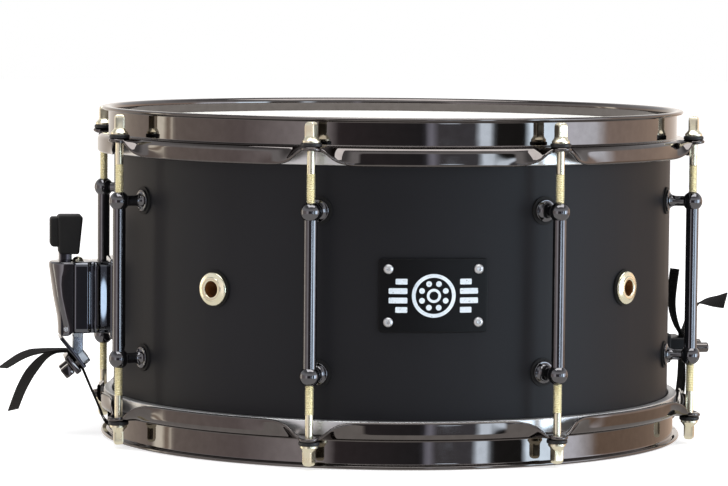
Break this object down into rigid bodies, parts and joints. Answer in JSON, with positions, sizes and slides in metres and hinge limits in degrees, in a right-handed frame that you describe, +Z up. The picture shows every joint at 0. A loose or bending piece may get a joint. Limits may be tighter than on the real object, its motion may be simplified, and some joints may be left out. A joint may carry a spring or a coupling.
{
  "type": "snare drum",
  "caption": "Cylindrical snare drum with tube lugs, flanged hoops, brass tension rods, air vents, a lever throw-off and coiled snare wires held by woven straps.",
  "frame": {"origin": "on the drum's axis, in the plane of the lower hoop's rim that the drum rests on", "axes": "+Z up along the drum's axis, -Y towards the front plate, -X towards the throw-off lever"},
  "size_m": [0.4719, 0.377, 0.2086],
  "materials": {
    "shell_lacquer": "satin black lacquer",
    "black_nickel": "polished black nickel",
    "brass": "polished",
    "batter_coating": "coated film",
    "clear_film": "hazy clear film",
    "ring_aluminium": "bright",
    "black_rubber": "matte",
    "black_nylon": "matte",
    "plate_enamel": "black enamel",
    "steel": "plain",
    "chrome": "polished",
    "strap_weave": "woven ribbon"
  },
  "bodies": {
    "root": {"shell": "shell_lacquer", "batter_hoop": "black_nickel", "snare_hoop": "black_nickel", "lug_posts": "black_nickel", "throw_housing": "black_nickel", "butt_body": "black_nickel", "butt_clamp": "black_nickel", "butt_clamp_screws": "black_nickel", "lug_tube_1": "black_nickel", "lug_tube_2": "black_nickel", "lug_tube_3": "black_nickel", "lug_tube_4": "black_nickel", "lug_tube_5": "black_nickel", "lug_tube_6": "black_nickel", "lug_tube_7": "black_nickel", "lug_tube_8": "black_nickel", "vent_grommets": "brass", "vent_nuts": "brass", "batter_film": "batter_coating", "snare_film": "clear_film", "batter_ring": "ring_aluminium", "snare_ring": "ring_aluminium", "lug_gaskets": "black_rubber", "vent_gaskets": "black_rubber", "rod_washers": "black_nylon", "front_plate": "plate_enamel", "lug_screws": "steel", "lug_screw_washers": "steel", "front_plate_screws": "steel", "throw_screws": "steel", "butt_screws": "steel", "throw_pivot": "steel", "snare_wires": "steel", "throw_end_plate": "steel", "butt_end_plate": "steel", "throw_strap": "strap_weave", "butt_strap": "strap_weave"},
    "lever": {"throw_lever": "black_nickel", "throw_grip": "black_rubber"},
    "carriage": {"throw_clamp": "black_nickel", "throw_clamp_screws": "black_nickel", "throw_carriage": "chrome"},
    "knob": {"throw_knob": "chrome"},
    "batter_rod_1": {"batter_rod_1": "brass"},
    "batter_rod_2": {"batter_rod_2": "brass"},
    "batter_rod_3": {"batter_rod_3": "brass"},
    "batter_rod_4": {"batter_rod_4": "brass"},
    "batter_rod_5": {"batter_rod_5": "brass"},
    "batter_rod_6": {"batter_rod_6": "brass"},
    "batter_rod_7": {"batter_rod_7": "brass"},
    "batter_rod_8": {"batter_rod_8": "brass"},
    "snare_rod_1": {"snare_rod_1": "brass"},
    "snare_rod_2": {"snare_rod_2": "brass"},
    "snare_rod_3": {"snare_rod_3": "brass"},
    "snare_rod_4": {"snare_rod_4": "brass"},
    "snare_rod_5": {"snare_rod_5": "brass"},
    "snare_rod_6": {"snare_rod_6": "brass"},
    "snare_rod_7": {"snare_rod_7": "brass"},
    "snare_rod_8": {"snare_rod_8": "brass"}
  },
  "joints": [
    {"name": "lever_throw", "type": "hinge", "parent": "root", "child": "lever", "pos_m": [-0.2092, 0, 0.06795], "axis": [0, -1, 0], "range_deg": [0, 90]},
    {"name": "carriage_slide", "type": "slide", "parent": "root", "child": "carriage", "axis": [0, 0, -1], "range_m": [0, 0.008], "deforming": ["throw_strap"]},
    {"name": "adjuster_turn", "type": "hinge", "parent": "carriage", "child": "knob", "pos_m": [-0.2011, 0, 0.1], "axis": [0, 0, 1], "continuous": true},
    {"name": "tension_batter_1", "type": "hinge", "parent": "root", "child": "batter_rod_1", "pos_m": [0.07455, -0.17997, 0.1936], "axis": [0, 0, 1], "continuous": true},
    {"name": "tension_batter_2", "type": "hinge", "parent": "root", "child": "batter_rod_2", "pos_m": [0.17997, -0.07455, 0.1936], "axis": [0, 0, 1], "continuous": true},
    {"name": "tension_batter_3", "type": "hinge", "parent": "root", "child": "batter_rod_3", "pos_m": [0.17997, 0.07455, 0.1936], "axis": [0, 0, 1], "continuous": true},
    {"name": "tension_batter_4", "type": "hinge", "parent": "root", "child": "batter_rod_4", "pos_m": [0.07455, 0.17997, 0.1936], "axis": [0, 0, 1], "continuous": true},
    {"name": "tension_batter_5", "type": "hinge", "parent": "root", "child": "batter_rod_5", "pos_m": [-0.07455, 0.17997, 0.1936], "axis": [0, 0, 1], "continuous": true},
    {"name": "tension_batter_6", "type": "hinge", "parent": "root", "child": "batter_rod_6", "pos_m": [-0.17997, 0.07455, 0.1936], "axis": [0, 0, 1], "continuous": true},
    {"name": "tension_batter_7", "type": "hinge", "parent": "root", "child": "batter_rod_7", "pos_m": [-0.17997, -0.07455, 0.1936], "axis": [0, 0, 1], "continuous": true},
    {"name": "tension_batter_8", "type": "hinge", "parent": "root", "child": "batter_rod_8", "pos_m": [-0.07455, -0.17997, 0.1936], "axis": [0, 0, 1], "continuous": true},
    {"name": "tension_snare_1", "type": "hinge", "parent": "root", "child": "snare_rod_1", "pos_m": [0.07455, -0.17997, 0.015], "axis": [0, 0, 1], "continuous": true},
    {"name": "tension_snare_2", "type": "hinge", "parent": "root", "child": "snare_rod_2", "pos_m": [0.17997, -0.07455, 0.015], "axis": [0, 0, 1], "continuous": true},
    {"name": "tension_snare_3", "type": "hinge", "parent": "root", "child": "snare_rod_3", "pos_m": [0.17997, 0.07455, 0.015], "axis": [0, 0, 1], "continuous": true},
    {"name": "tension_snare_4", "type": "hinge", "parent": "root", "child": "snare_rod_4", "pos_m": [0.07455, 0.17997, 0.015], "axis": [0, 0, 1], "continuous": true},
    {"name": "tension_snare_5", "type": "hinge", "parent": "root", "child": "snare_rod_5", "pos_m": [-0.07455, 0.17997, 0.015], "axis": [0, 0, 1], "continuous": true},
    {"name": "tension_snare_6", "type": "hinge", "parent": "root", "child": "snare_rod_6", "pos_m": [-0.17997, 0.07455, 0.015], "axis": [0, 0, 1], "continuous": true},
    {"name": "tension_snare_7", "type": "hinge", "parent": "root", "child": "snare_rod_7", "pos_m": [-0.17997, -0.07455, 0.015], "axis": [0, 0, 1], "continuous": true},
    {"name": "tension_snare_8", "type": "hinge", "parent": "root", "child": "snare_rod_8", "pos_m": [-0.07455, -0.17997, 0.015], "axis": [0, 0, 1], "continuous": true}
  ],
  "couplings": [
    {"joint": "carriage_slide", "follows": "lever_throw", "m_per_rad": 0.00509}
  ]
}
